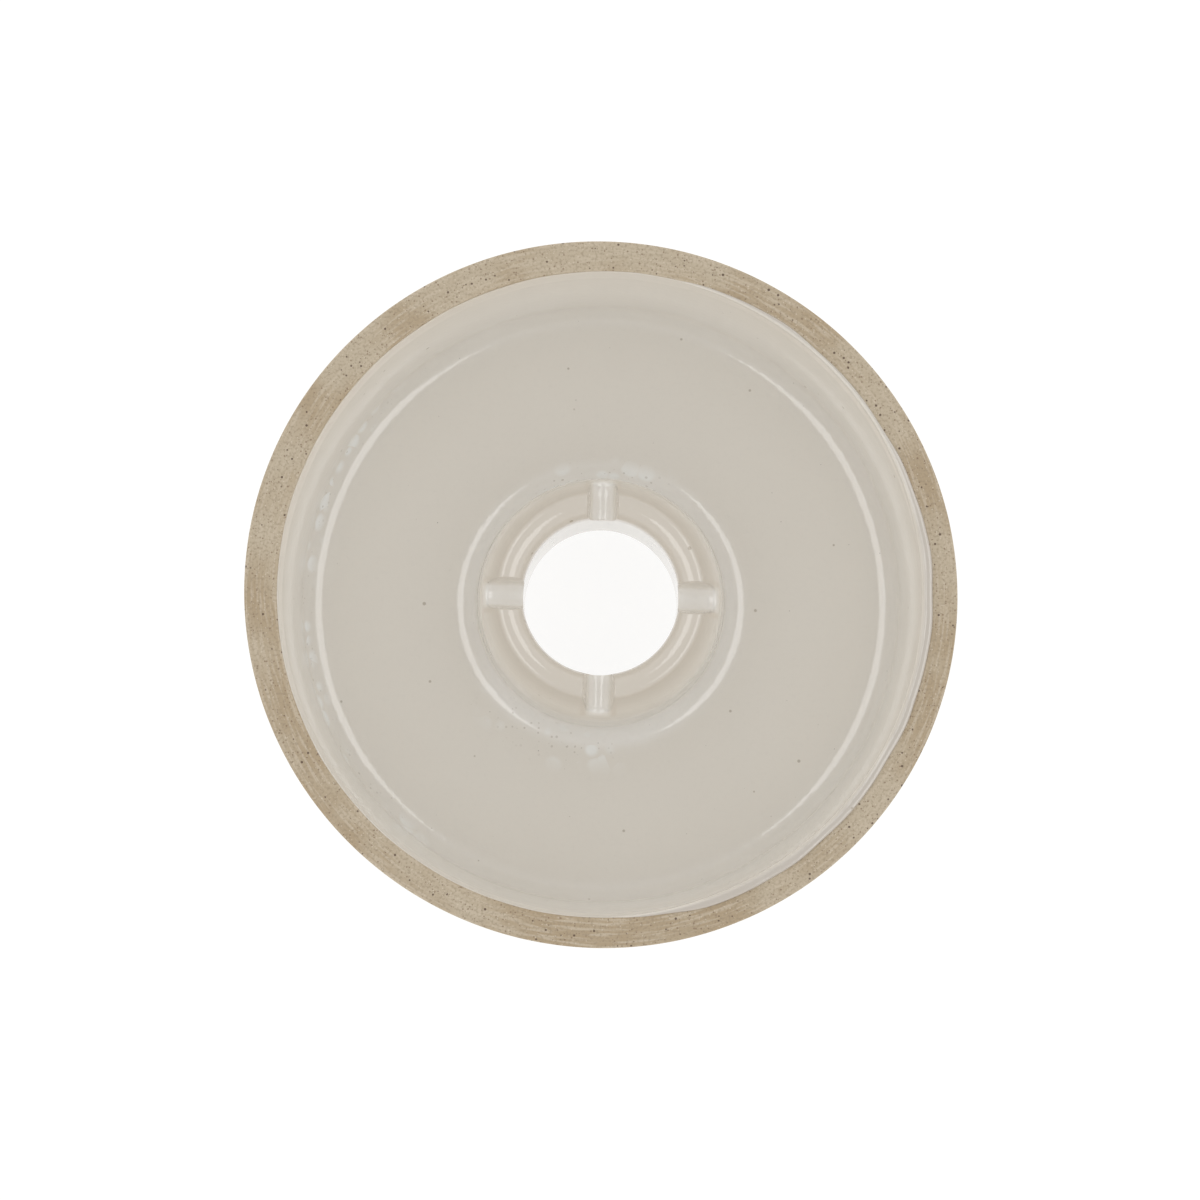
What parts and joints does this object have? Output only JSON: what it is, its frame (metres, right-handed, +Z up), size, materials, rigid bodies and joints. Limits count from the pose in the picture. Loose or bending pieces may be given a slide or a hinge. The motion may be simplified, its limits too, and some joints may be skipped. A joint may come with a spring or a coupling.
{
  "type": "evaporating dish",
  "caption": "Round glazed stoneware dish with a bare flat rim and a raised, channelled collar round a through hole.",
  "frame": {"origin": "centre of the base, on the level that the foot ring rests on", "axes": "+Z up, out of the open side; the channels across the collar run along X and Y"},
  "size_m": [0.0999, 0.1, 0.03],
  "materials": {
    "bare_stoneware": "matt unglazed fired clay, beige with fine dark iron specks",
    "inner_glaze": "glossy warm grey-white glaze, thin and browner on sharp edges",
    "outer_glaze": "glossy warm grey-white glaze"
  },
  "bodies": {
    "root": {"clay_body": "bare_stoneware", "inner_glaze": "inner_glaze", "outer_glaze": "outer_glaze"}
  },
  "joints": []
}
